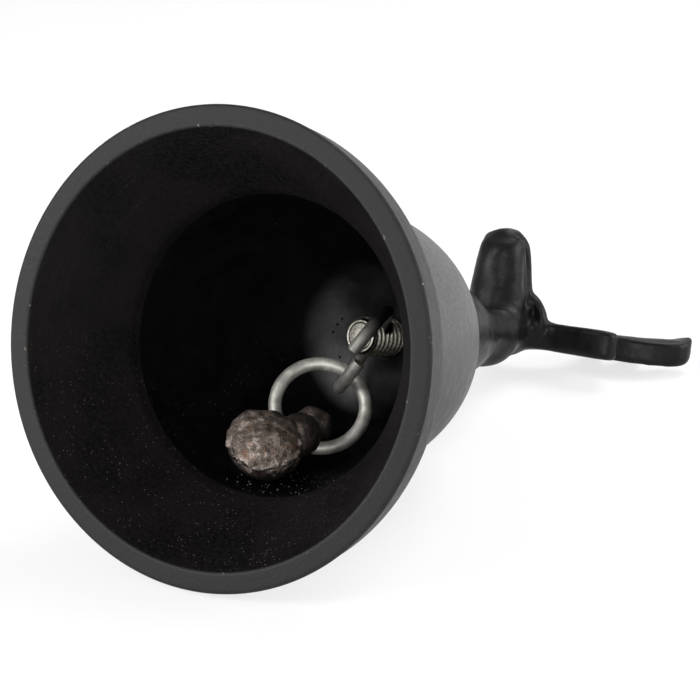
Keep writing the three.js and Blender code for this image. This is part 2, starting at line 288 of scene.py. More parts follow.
class Nodes:
    """Short calls for building one material's nodes."""

    def __init__(self, name, color, metallic, roughness, specular=0.5, matrix=None):
        self.material = bpy.data.materials.new(name)
        self.material.use_nodes = True
        self.tree = self.material.node_tree
        self.shader = self.tree.nodes["Principled BSDF"]
        self.shader.inputs["Base Color"].default_value = (*color, 1)
        self.shader.inputs["Metallic"].default_value = metallic
        self.shader.inputs["Roughness"].default_value = roughness
        self.shader.inputs["Specular IOR Level"].default_value = specular
        self.place = self.node("ShaderNodeTexCoord").outputs["Object"]
        self.height = None
        if matrix is not None:
            self.place = self.in_frame(matrix)

    def node(self, kind, **settings):
        made = self.tree.nodes.new(kind)
        for key, value in settings.items():
            setattr(made, key, value)
        return made

    def in_frame(self, matrix):
        """Places in metres of the frame of matrix, from the mesh's places in the row's frame."""
        back = matrix.inverted()
        mapping = self.node("ShaderNodeMapping", vector_type="POINT")
        self.link(self.place, mapping.inputs["Vector"])
        mapping.inputs["Location"].default_value = back.to_translation()
        mapping.inputs["Rotation"].default_value = back.to_euler()
        return mapping.outputs[0]

    def link(self, source, socket):
        self.tree.links.new(source, socket)

    def set(self, socket, value):
        """Links an output to the socket, or gives it a plain value."""
        if isinstance(value, bpy.types.NodeSocket):
            self.link(value, socket)
        else:
            socket.default_value = value

    def math(self, operation, a, b=0.0, clamp=False):
        made = self.node("ShaderNodeMath", operation=operation, use_clamp=clamp)
        self.set(made.inputs[0], a)
        self.set(made.inputs[1], b)
        return made.outputs[0]

    def noise(self, size, detail=3.0, rough=0.55, place=None, stretch=None):
        """Noise between 0 and 1, its bumps size millimetres wide."""
        source = place if place is not None else self.place
        if stretch is not None:
            mapping = self.node("ShaderNodeMapping")
            self.link(source, mapping.inputs["Vector"])
            mapping.inputs["Scale"].default_value = stretch
            source = mapping.outputs[0]
        made = self.node("ShaderNodeTexNoise")
        self.link(source, made.inputs["Vector"])
        made.inputs["Scale"].default_value = 1 / (size * MM)
        made.inputs["Detail"].default_value = detail
        made.inputs["Roughness"].default_value = rough
        return made.outputs["Fac"]

    def cells(self, size):
        made = self.node("ShaderNodeTexVoronoi")
        self.link(self.place, made.inputs["Vector"])
        made.inputs["Scale"].default_value = 1 / (size * MM)
        return made

    def ramp(self, value, low, high, out_low=0.0, out_high=1.0):
        """A smooth step from out_low to out_high while value goes from low to high."""
        made = self.node("ShaderNodeMapRange", interpolation_type="SMOOTHSTEP", clamp=True)
        self.set(made.inputs["Value"], value)
        made.inputs["From Min"].default_value = low
        made.inputs["From Max"].default_value = high
        made.inputs["To Min"].default_value = out_low
        made.inputs["To Max"].default_value = out_high
        return made.outputs["Result"]

    def colors(self, value, stops):
        """Colours by value, each stop a value and its colour."""
        made = self.node("ShaderNodeValToRGB")
        self.link(value, made.inputs["Fac"])
        elements = made.color_ramp.elements
        while len(elements) < len(stops):
            elements.new(0.5)
        for element, (at, color) in zip(elements, stops):
            element.position = at
            element.color = (*color, 1)
        return made.outputs["Color"]

    def mix(self, share, a, b):
        made = self.node("ShaderNodeMix", data_type="RGBA")
        self.set(made.inputs["Factor"], share)
        for socket, value in ((made.inputs["A"], a), (made.inputs["B"], b)):
            self.set(socket, value if isinstance(value, bpy.types.NodeSocket) else (*value, 1))
        return made.outputs["Result"]

    def axes(self):
        split = self.node("ShaderNodeSeparateXYZ")
        self.link(self.place, split.inputs[0])
        return split.outputs

    def round_place(self, around=0.0):
        """Coordinates that make noise run round the axis, then the radius and the height."""
        x, y, z = self.axes()
        square = self.math("ADD", self.math("MULTIPLY", x, x), self.math("MULTIPLY", y, y))
        radius = self.math("SQRT", square)
        made = self.node("ShaderNodeCombineXYZ")
        self.link(radius, made.inputs[0])
        self.link(z, made.inputs[1])
        if around:
            wrapped = self.math("SINE", self.math("ARCTAN2", y, x))
            self.link(self.math("MULTIPLY", wrapped, around * MM), made.inputs[2])
        return made.outputs[0], radius, z

    def facing_up(self, low, high):
        """1 where the surface faces up from the table at rest."""
        return self.ramp(self.facing((0.0, 0.0, 1.0)), low, high)

    def facing(self, direction):
        """The cosine between the surface and a direction at rest."""
        normal = self.node("ShaderNodeTexCoord").outputs["Normal"]
        dot = self.node("ShaderNodeVectorMath", operation="DOT_PRODUCT")
        self.link(normal, dot.inputs[0])
        dot.inputs[1].default_value = direction
        return dot.outputs["Value"]

    def away(self, spot):
        """The distance from a spot given in millimetres."""
        made = self.node("ShaderNodeVectorMath", operation="DISTANCE")
        self.link(self.place, made.inputs[0])
        made.inputs[1].default_value = [v * MM for v in spot]
        return made.outputs["Value"]

    def near(self, spots, reach):
        """1 at the spots, in millimetres, and 0 from reach on."""
        total = None
        for spot in spots:
            share = self.ramp(self.away(spot), reach * MM * 0.25, reach * MM, 1.0, 0.0)
            total = share if total is None else self.math("MAXIMUM", total, share)
        return total

    def relief(self, value, depth):
        """Adds value times depth, in millimetres, to the surface relief."""
        deep = self.math("MULTIPLY", value, depth)
        self.height = deep if self.height is None else self.math("ADD", self.height, deep)

    def done(self, color, roughness, metallic=None):
        self.set(self.shader.inputs["Base Color"], color)
        self.set(self.shader.inputs["Roughness"], roughness)
        if metallic is not None:
            self.set(self.shader.inputs["Metallic"], metallic)
        if self.height is not None:
            made = self.node("ShaderNodeBump")
            made.inputs["Distance"].default_value = MM
            made.inputs["Strength"].default_value = 1.0
            self.link(self.height, made.inputs["Height"])
            self.link(made.outputs[0], self.shader.inputs["Normal"])
        return self.material


def dust(n, amount, size):
    """Pale specks that lie on surfaces facing up, more of them in some places."""
    cells = n.cells(size)
    chosen = n.node("ShaderNodeSeparateColor")
    n.link(cells.outputs["Color"], chosen.inputs[0])
    speck = n.ramp(cells.outputs["Distance"], 0.06, 0.2, 1.0, 0.0)
    patches = n.ramp(n.noise(9, 3.0, 0.6), 0.38, 0.68)
    rare = n.math("MULTIPLY", patches, -0.34 * amount)
    limit = n.math("ADD", rare, 1.0 - 0.04 * amount)
    kept = n.math("GREATER_THAN", chosen.outputs[0], limit)
    up = n.facing_up(-0.1, 0.7)
    return n.math("MULTIPLY", n.math("MULTIPLY", speck, kept), up)


def rim_black():
    n = Nodes("cup_rim_turned", (0.01, 0.01, 0.011), 0.0, 0.5, 0.16, LYING)
    rings, radius, z = n.round_place()
    fine = n.noise(0.35, 2.0, place=rings)
    grain = n.noise(0.8, 4.0, 0.6)
    worn = n.ramp(n.noise(1.6, 4.0, 0.65), 0.62, 0.72)
    mouth = RIM_RADIUS - RIM_FACE
    inner = n.ramp(radius, (mouth + 0.25) * MM, (mouth + 0.55) * MM, 1.0, 0.0)
    outer = n.ramp(radius, (RIM_RADIUS - 0.5) * MM, (RIM_RADIUS - 0.15) * MM)
    low = n.ramp(z, 0.5 * MM, 0.9 * MM, 1.0, 0.0)
    edge = n.math("MULTIPLY", n.math("MAXIMUM", inner, outer), low)
    chips = n.math("MULTIPLY", edge, n.math("MAXIMUM", worn, 0.02))
    base = n.mix(n.ramp(grain, 0.3, 0.75), (0.0066, 0.0068, 0.0074), (0.0118, 0.0116, 0.0116))
    # The rounded outer edge goes darker towards the lip's side band: painted shade.
    side = n.ramp(z, 0.2 * MM, 0.6 * MM)
    base = n.mix(side, base, (0.003, 0.003, 0.0032))
    color = n.mix(chips, base, (0.2, 0.18, 0.15))
    n.relief(fine, 0.02)
    n.relief(grain, 0.05)
    n.relief(chips, -0.04)
    return n.done(color=color, roughness=n.ramp(grain, 0.2, 0.8, 0.46, 0.6))


# The lip's side band is painted darker than the rim and the coat: painted shade.
def lip_side():
    n = Nodes("cup_lip_side", (0.006, 0.006, 0.006), 0.0, 0.6, 0.06, LYING)
    rings, _, _ = n.round_place()
    lines = n.noise(0.4, 2.0, place=rings)
    grain = n.noise(0.8, 4.0, 0.6)
    color = n.mix(n.ramp(grain, 0.3, 0.7), (0.0035, 0.0033, 0.0033), (0.008, 0.0072, 0.007))
    n.relief(lines, 0.03)
    n.relief(grain, 0.05)
    return n.done(color=color, roughness=n.ramp(grain, 0.2, 0.8, 0.52, 0.7))


def outer_black():
    n = Nodes("cup_outer_coat", (0.05, 0.05, 0.05), 0.0, 0.48, 0.42, LYING)
    rings, _, z = n.round_place(around=9)
    lines = n.noise(0.9, 3.0, 0.6, place=rings)
    mottle = n.noise(3.2, 4.0, 0.55, stretch=(1, 1, 1.8))
    grain = n.noise(0.55, 3.0, 0.6)
    bare = n.mix(n.ramp(mottle, 0.3, 0.7), (0.03, 0.03, 0.031), (0.046, 0.0455, 0.045))
    # Towards the mouth and on surfaces facing down the coat is painted darker: painted shade.
    low = n.ramp(z, 8 * MM, 24 * MM, 1.0, 0.0)
    bare = n.mix(n.facing_up(-0.9, 0.3), (0.009, 0.0085, 0.008), bare)
    bare = n.mix(n.math("MULTIPLY", low, 0.88), bare, (0.007, 0.007, 0.0072))
    # Lighter on surfaces facing up, a pale film that is partly dust and partly painted top light;
    # less of it towards the mouth.
    paler_facing = n.math("MULTIPLY", n.facing_up(-0.7, 0.95), n.ramp(grain, 0.3, 0.72, 0.1, 0.6))
    paler_facing = n.math("MULTIPLY", paler_facing, n.ramp(low, 0.0, 1.0, 1.0, 0.25))
    color = n.mix(paler_facing, bare, (0.16, 0.158, 0.162))
    color = n.mix(dust(n, 0.05, 1.2), color, (0.3, 0.29, 0.27))
    n.relief(lines, 0.035)
    n.relief(mottle, 0.16)
    n.relief(grain, 0.035)
    return n.done(color=color, roughness=n.ramp(mottle, 0.25, 0.75, 0.42, 0.56))


def skirt_black():
    n = Nodes("cup_skirt_turned", (0.006, 0.005, 0.005), 0.0, 0.5, 0.1, LYING)
    rings, _, z = n.round_place(around=3)
    lines = n.noise(0.6, 2.0, 0.5, place=rings)
    grain = n.noise(0.7, 4.0, 0.6)
    clouds = n.noise(16, 2.0, 0.5)
    base = n.mix(n.ramp(grain, 0.3, 0.7), (0.0022, 0.0019, 0.0021), (0.006, 0.0051, 0.0054))
    base = n.mix(n.ramp(clouds, 0.4, 0.62, 0.0, 0.5), base, (0.0088, 0.0072, 0.0078))
    worn = 0.0
    for height in TURNED_LINES:
        off = n.math("ABSOLUTE", n.math("ADD", z, -height * MM))
        worn = n.math("MAXIMUM", worn, n.ramp(off, 0.04 * MM, 0.2 * MM, 1.0, 0.0))
    worn = n.math("MULTIPLY", worn, n.ramp(n.noise(7, 3.0, 0.6), 0.42, 0.62))
    base = n.mix(n.math("MULTIPLY", worn, 0.08), base, (0.03, 0.027, 0.025))
    color = n.mix(dust(n, 1.5, 0.52), base, (0.19, 0.17, 0.145))
    n.relief(lines, 0.03)
    n.relief(worn, -0.015)
    n.relief(grain, 0.05)
    return n.done(color=color, roughness=n.ramp(grain, 0.2, 0.8, 0.42, 0.6))


def cast_spot(height, degrees):
    """A place on the dome's wall inside, from its height and its angle seen from the mouth."""
    radius = float(inner_radius(height))
    angle = math.radians(degrees)
    return (radius * math.cos(angle), -radius * math.sin(angle), height)


def dome_black():
    n = Nodes("cup_dome_cast", (0.008, 0.008, 0.01), 0.0, 0.45, 0.13, LYING)
    _, _, z = n.axes()
    swell = n.noise(4.5, 3.0, 0.5)
    grain = n.noise(0.6, 4.0, 0.65)
    # Past the crown's edge the cast is lighter, partly its own tone and partly a painted sheen.
    crown = n.ramp(z, (CROWN_HEIGHT - 3.6) * MM, (CROWN_HEIGHT + 2.4) * MM)
    base = n.mix(n.ramp(swell, 0.3, 0.7), (0.0011, 0.0012, 0.0018), (0.0027, 0.0027, 0.0034))
    cast = n.mix(n.ramp(swell, 0.35, 0.65), (0.008, 0.0073, 0.008), (0.017, 0.0158, 0.017))
    # Lighter where the wall faces right and up, most near one spot low on the crown: a painted
    # sheen.
    paler_facing = n.ramp(n.facing((0.9, 0.0, 0.43)), 0.17, 0.44)
    paler_facing = n.math("MULTIPLY", paler_facing, n.ramp(n.noise(3.2, 4.0, 0.6), 0.25, 0.75, 0.65, 1.0))
    below = n.away(cast_spot(64.5, -128))
    paler_facing = n.math("MULTIPLY", paler_facing, n.ramp(below, 4.0 * MM, 11.0 * MM, 1.0, 0.24))
    cast = n.mix(paler_facing, cast, (0.27, 0.26, 0.263))
    base = n.mix(crown, base, cast)
    pores = n.near([
        cast_spot(67.2, 166), cast_spot(67.9, 171), cast_spot(67.0, 174), cast_spot(66.4, 169),
        cast_spot(68.5, 143), cast_spot(66.8, -177), cast_spot(67.0, -149), cast_spot(66.9, -144),
    ], 0.3)
    pits = n.near([cast_spot(41.7, 122.4), cast_spot(40.2, 112.4), cast_spot(39.1, 103.5)], 0.75)
    holes = n.math("MAXIMUM", pores, pits)
    color = n.mix(holes, base, (0.001, 0.001, 0.001))
    color = n.mix(dust(n, 0.6, 0.7), color, (0.16, 0.15, 0.13))
    n.relief(swell, 0.3)
    n.relief(n.noise(1.5, 4.0, 0.6), 0.12)
    n.relief(grain, 0.06)
    n.relief(holes, -0.5)
    rough = n.math("MULTIPLY", crown, n.ramp(paler_facing, 0.0, 0.6, 0.3, 0.0))
    rough = n.math("ADD", rough, n.ramp(grain, 0.2, 0.8, 0.36, 0.5))
    return n.done(color=color, roughness=rough)


def handle_black():
    n = Nodes("handle_satin_black", (0.006, 0.006, 0.0065), 0.0, 0.38, 0.13)
    swell = n.noise(3.4, 3.0, 0.5)
    grain = n.noise(0.5, 4.0, 0.6)
    base = n.mix(n.ramp(grain, 0.25, 0.75), (0.003, 0.0031, 0.0036), (0.0065, 0.0063, 0.0063))
    # Lighter in patches where the surface faces up.
    paler_facing = n.math("MULTIPLY", n.facing_up(0.6, 1.0), n.ramp(swell, 0.3, 0.7, 0.1, 0.4))
    color = n.mix(paler_facing, base, (0.03, 0.0285, 0.027))
    n.relief(swell, 0.2)
    n.relief(grain, 0.045)
    return n.done(color=color, roughness=n.ramp(swell, 0.25, 0.75, 0.32, 0.46))


def stud_zinc():
    n = Nodes("stud_zinc_plate", (0.6, 0.57, 0.5), 1.0, 0.3, 0.5, STUD)
    _, radius, z = n.round_place()
    grain = n.noise(0.45, 4.0, 0.65)
    crest = STUD_DIAMETER / 2
    groove = n.ramp(radius, (crest - THREAD_DEPTH * 0.75) * MM, (crest - 0.12) * MM)
    end = n.ramp(z, (0.12 - STUD_REACH) * MM, (0.24 - STUD_REACH) * MM, 1.0, 0.0)
    # Thread grooves are painted near black and the thread gets a darker copy of the end's colour:
    # painted shade. The end face keeps the clean colour.
    bright = n.math("MAXIMUM", groove, end)
    dull = n.mix(n.ramp(grain, 0.35, 0.6), (0.27, 0.25, 0.2), (0.62, 0.59, 0.51))
    clean = n.mix(n.ramp(grain, 0.35, 0.6), (0.5, 0.46, 0.38), (0.95, 0.91, 0.82))
    clean = n.mix(end, dull, clean)
    color = n.mix(bright, (0.014, 0.012, 0.011), clean)
    n.relief(grain, 0.1)
    metal = n.ramp(end, 0.0, 1.0, 0.95, 0.5)
    return n.done(color=color, roughness=n.ramp(grain, 0.25, 0.75, 0.28, 0.46), metallic=metal)


def wire_steel(name, shade, shaded_spots):
    """Dull plated wire: shade below 1 gives a darker copy as painted shade, and the listed spots
    are painted black as shade.
    """
    dull = [v * shade for v in (0.42, 0.405, 0.37)]
    clean = [v * shade for v in (0.68, 0.66, 0.61)]
    n = Nodes(name, dull, 0.72, 0.55)
    patches = n.noise(2.4, 4.0, 0.6)
    grain = n.noise(0.3, 3.0, 0.6)
    color = n.mix(n.ramp(patches, 0.3, 0.72), dull, clean)
    tint = n.ramp(n.noise(1.7, 4.0, 0.7), 0.66, 0.76, 0.0, 0.5)
    color = n.mix(tint, color, (0.24, 0.13, 0.08))
    # Black near the listed spots by the stud's hole: painted shadow.
    if shaded_spots:
        color = n.mix(n.near(shaded_spots, 6.5), color, (0.012, 0.012, 0.012))
    n.relief(grain, 0.012)
    n.relief(patches, 0.03)
    return n.done(color=color, roughness=n.ramp(patches, 0.25, 0.75, 0.48, 0.62))


def wire_cut():
    n = Nodes("ring_wire_cut_end", (0.3, 0.2, 0.14), 0.9, 0.45)
    grain = n.noise(0.35, 4.0, 0.7)
    color = n.mix(n.ramp(grain, 0.3, 0.7), (0.13, 0.075, 0.05), (0.42, 0.36, 0.31))
    n.relief(grain, 0.08)
    return n.done(color=color, roughness=n.ramp(grain, 0.25, 0.75, 0.36, 0.6))


def raw_casting():
    n = Nodes("clapper_raw_casting", (0.12, 0.09, 0.08), 0.6, 0.5)
    patches = n.noise(2.0, 4.0, 0.6)
    grain = n.noise(0.42, 5.0, 0.7)
    fine = n.noise(0.16, 3.0, 0.6)
    base = n.colors(patches, [
        (0.3, (0.05, 0.034, 0.027)), (0.45, (0.14, 0.108, 0.088)),
        (0.57, (0.31, 0.255, 0.22)), (0.7, (0.62, 0.55, 0.5)),
    ])
    base = n.mix(n.ramp(grain, 0.44, 0.62, 0.0, 0.8), base, (0.035, 0.025, 0.021))
    rust = n.ramp(n.noise(2.6, 3.0, 0.65), 0.56, 0.7, 0.0, 0.5)
    color = n.mix(rust, base, (0.22, 0.085, 0.035))
    # Painted shade: the sides turned away from the face, the shank and two spots go near black,
    # lighter again at the top of the shank by the eye.
    facing = n.math("ADD", n.facing(CLAPPER_FACE), n.math("MULTIPLY", patches, 0.35))
    scale = n.ramp(facing, 0.1, 0.42, 1.0, 0.0)
    shank_shade = n.ramp(n.away(CLAPPER_HEAD), (HEAD_RADIUS - 0.9) * MM, HEAD_RADIUS * MM)
    shank_shade = n.math("SUBTRACT", shank_shade, n.math("MULTIPLY", n.near([EYE_TOP], 5.0), 0.55), clamp=True)
    clapper_shade = n.math("MULTIPLY", n.math("MAXIMUM", scale, shank_shade), 0.9)
    clapper_shade = n.math("MAXIMUM", clapper_shade, n.math("MULTIPLY", n.near(CLAPPER_SHADOW_SPOTS, 5.0), 0.85))
    # Pale specks stand in for glints on the casting: painted highlights.
    color = n.mix(n.ramp(fine, 0.6, 0.68, 0.0, 0.45), color, (0.8, 0.74, 0.68))
    color = n.mix(clapper_shade, color, (0.012, 0.009, 0.008))
    n.relief(patches, 0.22)
    n.relief(grain, 0.28)
    n.relief(fine, 0.06)
    shine = n.ramp(grain, 0.35, 0.6, 0.9, 0.35)
    return n.done(color=color, roughness=n.ramp(grain, 0.3, 0.7, 0.3, 0.6), metallic=shine)


# Cup

def cup_profile():
    """The profile in parts, each with its index in CUP_MATERIALS."""
    mouth = RIM_RADIUS - RIM_FACE
    ledge = (SKIRT_RADIUS, SKIRT_HEIGHT)
    mouth_edge = corner((mouth, 0), (mouth - 2, 3.6), (mouth + 1, 0), 0.34)
    rim_edge = corner((RIM_RADIUS, 0), (RIM_RADIUS - 1, 0), (RIM_RADIUS, 1), 0.6)
    lip_edge = corner((RIM_RADIUS - LIP_TAPER, LIP_HEIGHT), rim_edge[-1], FLARE[0], 0.25)
    wall = dome(SKIRT_RADIUS - LEDGE, SKIRT_HEIGHT, CAVITY_RISE, CROWN_SHARE, 110)
    wall = [p for p in wall if 1.3 < p[1] - SKIRT_HEIGHT and p[1] < CROWN_HEIGHT - 2.8]
    crown_edge = corner((CROWN_RADIUS, CROWN_HEIGHT), wall[-1], (0, CEILING), 3.5, 10)
    cavity = (wall + crown_edge + [(0, CEILING)])[::-1]
    shoulder = dome(BODY_RADIUS, BODY_HEIGHT, BODY_HEIGHT, SEAT_RADIUS / BODY_RADIUS, 70)
    seat = shoulder[-1]
    return [
        (dense(cavity, 0.9), 0),
        (dense([cavity[-1], ledge], 0.3), 1),
        (dense([ledge, mouth_edge[0]], 0.8), 1),
        (np.array(mouth_edge), 2),
        (dense([mouth_edge[-1], rim_edge[0]], 0.5), 2),
        (np.array(rim_edge), 2),
        (dense([rim_edge[-1], lip_edge[0]], 0.4), 4),
        (np.array(lip_edge), 4),
        (dense([lip_edge[-1], FLARE[0]], 0.6), 3),
        (dense(bent(*FLARE, 44), 0.9), 3),
        (dense(shoulder, 0.9), 3),
        (dense([seat, (0, seat[1])], 1.5), 3),
    ]


def cup():
    sides = 360
    rows, kinds = [], []
    for part, kind in cup_profile():
        fresh = part[1:] if rows else part
        rows += list(fresh)
        kinds += [kind] * len(fresh)
    rows = np.array(rows)
    inside = rows[1:-1]
    angle = np.arange(sides) * 2 * math.pi / sides
    ring = np.stack([np.cos(angle), np.sin(angle)], 1)
    body = np.concatenate([
        inside[:, None, :1] * ring[None], np.repeat(inside[:, None, 1:], sides, 1)
    ], 2).reshape(-1, 3)
    count = len(inside)
    points = np.concatenate([[(0, 0, rows[0][1])], body, [(0, 0, rows[-1][1])]])
    last = len(points) - 1
    faces, indices = [], []
    for j in range(sides):
        k = (j + 1) % sides
        faces.append((0, 1 + j, 1 + k))
        indices.append(kinds[1])
        faces.append((last, 1 + (count - 1) * sides + k, 1 + (count - 1) * sides + j))
        indices.append(kinds[-1])
    for i in range(count - 1):
        low, high = 1 + i * sides, 1 + (i + 1) * sides
        for j in range(sides):
            k = (j + 1) % sides
            faces.append((low + j, high + j, high + k, low + k))
            indices.append(kinds[i + 2])
    points = cast_wall(points)
    piece = mesh_piece("cup_shell", points, faces, LYING, CUP_MATERIALS, indices)
    cut(piece, rod(STUD_DIAMETER / 2 + BORE_CLEARANCE, -6, 24, STUD, CUP_MATERIALS[0]))
    finish_piece(piece, "bell", "cup_black", "bell_cup")


def cast_wall(points):
    """Gives the cast wall inside its uneven swell, from a little above the skirt."""
    radius = np.hypot(points[:, 0], points[:, 1])
    height = points[:, 2]
    start = SKIRT_HEIGHT + 0.8
    outer = radius > inner_radius(height) + 1.2
    for i in np.nonzero(~outer & (height > start))[0]:
        p = points[i]
        fade = min(1.0, (height[i] - start) / 4)
        depth = 0.16 * fractal(p, 9.0, 3) * fade
        toward = Vector((p[0], p[1], 0.55 * (p[2] - SKIRT_HEIGHT))).normalized()
        points[i] = p - np.array(toward) * (depth + 0.05 * fade)
    return points


# Threaded stud

def threaded_stud():
    """The stud with its thread, hollowed end and cross hole, Z = 0 at the cup's ceiling."""
    sides, per_pitch = 60, 12
    radius = STUD_DIAMETER / 2
    core = radius - THREAD_DEPTH
    worn = core - 0.15
    low, high = -STUD_REACH, STUD_TOP
    rows = int((high - low) / PITCH * per_pitch)
    rings = []
    for i in range(rows + 1):
        z = low + (high - low) * i / rows
        ring = []
        for j in range(sides):
            a = 2 * math.pi * j / sides
            phase = (z / PITCH - a / (2 * math.pi)) % 1.0
            wave = abs(2 * phase - 1)
            crest = radius - THREAD_DEPTH * min(1.0, max(0.0, (wave - 0.1) / 0.78))
            chamfer = worn + (z + STUD_REACH) * 0.85
            r = min(crest, max(chamfer, worn))
            ring.append((r * math.cos(a), r * math.sin(a), z))
        rings.append(ring)
    end = [
        (0.9, -0.03), (core - 0.74, 0.02), (core - 0.62, 0.24), (core - 0.42, 0.22),
        (core - 0.32, 0.0),
    ]
    rings = [circle(r, low + step, sides) for r, step in end] + rings
    points = [p for ring in rings for p in ring]
    faces = tube_faces(len(rings), sides)
    faces.append(tuple(reversed(range(sides))))
    faces.append(tuple(range((len(rings) - 1) * sides, len(rings) * sides)))
    material = stud_zinc()
    piece = mesh_piece("stud_thread", points, faces, STUD, [material])
    along = STUD @ move(0, 0, HOLE_FROM_END - STUD_REACH) @ turn(HOLE_TURN, "Z") @ turn(90, "Y")
    cut(piece, rod(HOLE_DIAMETER / 2, -6, 6, along, material))
    finish_piece(piece, "bell", "stud_zinc", "threaded_stud")


# Split rings

def split_ring(name, matrix, split, offset, wire, body, node):
    """A ring of wire that hangs from Z = 0, cut at the angle split, its ends offset sideways."""
    sides, steps = 28, 150
    chamfer, chamfer_length = 0.09, 0.3
    half_gap = math.degrees(ENDS_GAP / RING_RADIUS) / 2

    def path(share):
        turned = half_gap + share * (360 - 2 * half_gap)
        a = math.radians(split + turned)
        aside = offset * (1 - (split + turned) / 360)
        return np.array([RING_RADIUS * math.sin(a), aside, RING_RADIUS * (math.cos(a) - 1)])

    middle = np.array([0, 0, -RING_RADIUS])
    points = []
    for i in range(steps + 1):
        share = i / steps
        at = path(share)
        ahead = path(min(1, share + 0.002)) - path(max(0, share - 0.002))
        ahead /= np.linalg.norm(ahead)
        outward = at - middle
        outward -= ahead * outward.dot(ahead)
        outward /= np.linalg.norm(outward)
        aside = np.cross(ahead, outward)
        end = min(share, 1 - share) * 2 * math.pi * RING_RADIUS
        for j in range(sides):
            a = 2 * math.pi * j / sides
            out = outward * math.cos(a) + aside * math.sin(a)
            reach = WIRE_RADIUS - chamfer * max(0.0, 1 - end / chamfer_length)
            dent = 0.02 * fractal(at + out * WIRE_RADIUS, 1.6, 2)
            points.append(at + out * (reach - abs(dent)))
    faces = tube_faces(steps + 1, sides)
    indices = [0] * len(faces)
    for row, flip in ((0, True), (steps, False)):
        rim = list(range(row * sides, (row + 1) * sides))
        centre = len(points)
        points.append(np.mean([points[r] for r in rim], axis=0))
        for j in range(sides):
            a, b = rim[j], rim[(j + 1) % sides]
            faces.append((centre, b, a) if flip else (centre, a, b))
            indices.append(1)
    piece = mesh_piece(name, points, faces, matrix, [wire, CUT_END], indices)
    sharpen(piece, 60)
    finish_piece(piece, body, "ring_steel", node)


def sharpen(piece, degrees):
    """Keeps the edges steeper than this sharp in the shading."""
    mesh = piece.data
    work = bmesh.new()
    work.from_mesh(mesh)
    for edge in work.edges:
        if len(edge.link_faces) == 2 and edge.calc_face_angle(0) > math.radians(degrees):
            edge.smooth = False
    work.to_mesh(mesh)
    work.free()


# Pieces that start from the solids, remeshed finely

def remeshed(name, node, voxel, passes):
    """A fine even mesh over a solid."""
    source = frame["nodes"][node]
    mesh = source.data.copy()
    mesh.transform(source.matrix_world)
    mesh.materials.clear()
    piece = bpy.data.objects.new(name, mesh)
    bpy.context.collection.objects.link(piece)
    work = bmesh.new()
    work.from_mesh(mesh)
    bmesh.ops.remove_doubles(work, verts=work.verts, dist=1e-6)
    work.to_mesh(mesh)
    work.free()
    remesh = piece.modifiers.new("even", "REMESH")
    remesh.mode = "VOXEL"
    remesh.voxel_size = voxel * MM
    remesh.use_smooth_shade = True
    apply_modifiers(piece)
    smoothed(piece, passes)
    return piece


class Surface:
    """A piece's vertices as arrays: places in millimetres of a frame, normals and neighbours."""

    def __init__(self, piece, matrix=None):
        self.mesh = piece.data
        self.matrix = matrix if matrix is not None else Matrix.Identity(4)
        count = len(self.mesh.vertices)
        points = np.empty(count * 3)
        self.mesh.vertices.foreach_get("co", points)
        self.points = from_row(points.reshape(-1, 3), self.matrix)
        ends = np.empty(len(self.mesh.edges) * 2, int)
        self.mesh.edges.foreach_get("vertices", ends)
        self.ends = ends.reshape(-1, 2)
        self.degree = np.bincount(self.ends.ravel(), minlength=count)[:, None]

    def normals(self):
        self.write()
        normals = np.empty(len(self.points) * 3)
        self.mesh.vertex_normals.foreach_get("vector", normals)
        return normals.reshape(-1, 3) @ np.array(self.matrix.to_3x3())

    def pull(self):
        """From each vertex to the middle of its neighbours."""
        total = np.zeros_like(self.points)
        for axis in range(3):
            values = self.points[:, axis]
            total[:, axis] = np.bincount(self.ends[:, 0], values[self.ends[:, 1]], len(values))
            total[:, axis] += np.bincount(self.ends[:, 1], values[self.ends[:, 0]], len(values))
        return total / self.degree - self.points

    def smooth(self, passes):
        """Rounds the surface off without shrinking it."""
        for _ in range(passes):
            for share in (0.5, -0.52):
                self.points += share * self.pull()

    def fillet(self, passes, where=1.0):
        """Fills the hollow creases only."""
        for _ in range(passes):
            normals = self.normals()
            pull = self.pull()
            out = np.clip((pull * normals).sum(1), 0, None)
            self.points += normals * (out * where)[:, None]

    def round_off(self, passes, where):
        """Rounds the surface where told, edges most."""
        for _ in range(passes):
            self.points += 0.6 * self.pull() * where[:, None]

    def push(self, amount):
        """Moves each vertex along its normal, in millimetres."""
        self.points += self.normals() * np.asarray(amount)[:, None]

    def write(self):
        self.mesh.vertices.foreach_set("co", to_row(self.points, self.matrix).ravel())
        self.mesh.update()

    def noise(self, scale, octaves):
        return np.array([fractal(p, scale, octaves) for p in self.points])


def smoothed(piece, passes):
    surface = Surface(piece)
    surface.smooth(passes)
    surface.write()


def away_from_line(points, line):
    """The distance of each point to a line through several places."""
    nearest = np.full(len(points), np.inf)
    for a, b in zip(line[:-1], line[1:]):
        a, b = np.array(a, float), np.array(b, float)
        share = np.clip((points - a) @ (b - a) / (b - a).dot(b - a), 0, 1)
        distance = np.linalg.norm(points - a - share[:, None] * (b - a), axis=1)
        nearest = np.minimum(nearest, distance)
    return nearest


def away_from_lines(points, line, lift=0.0):
    """The distance to a line, lifted along the bell, or to its mirror image."""
    right = [(x, y, z + lift) for x, y, z in line]
    left = [(-x, y, z) for x, y, z in right]
    return np.minimum(away_from_line(points, right), away_from_line(points, left))


def away(points, spot):
    return np.linalg.norm(points - np.array(spot, float), axis=1)


def away_from_spots(points, spot):
    """The distance to a spot or to its mirror image."""
    x, y, z = spot
    return np.minimum(away(points, spot), away(points, (-x, y, z)))


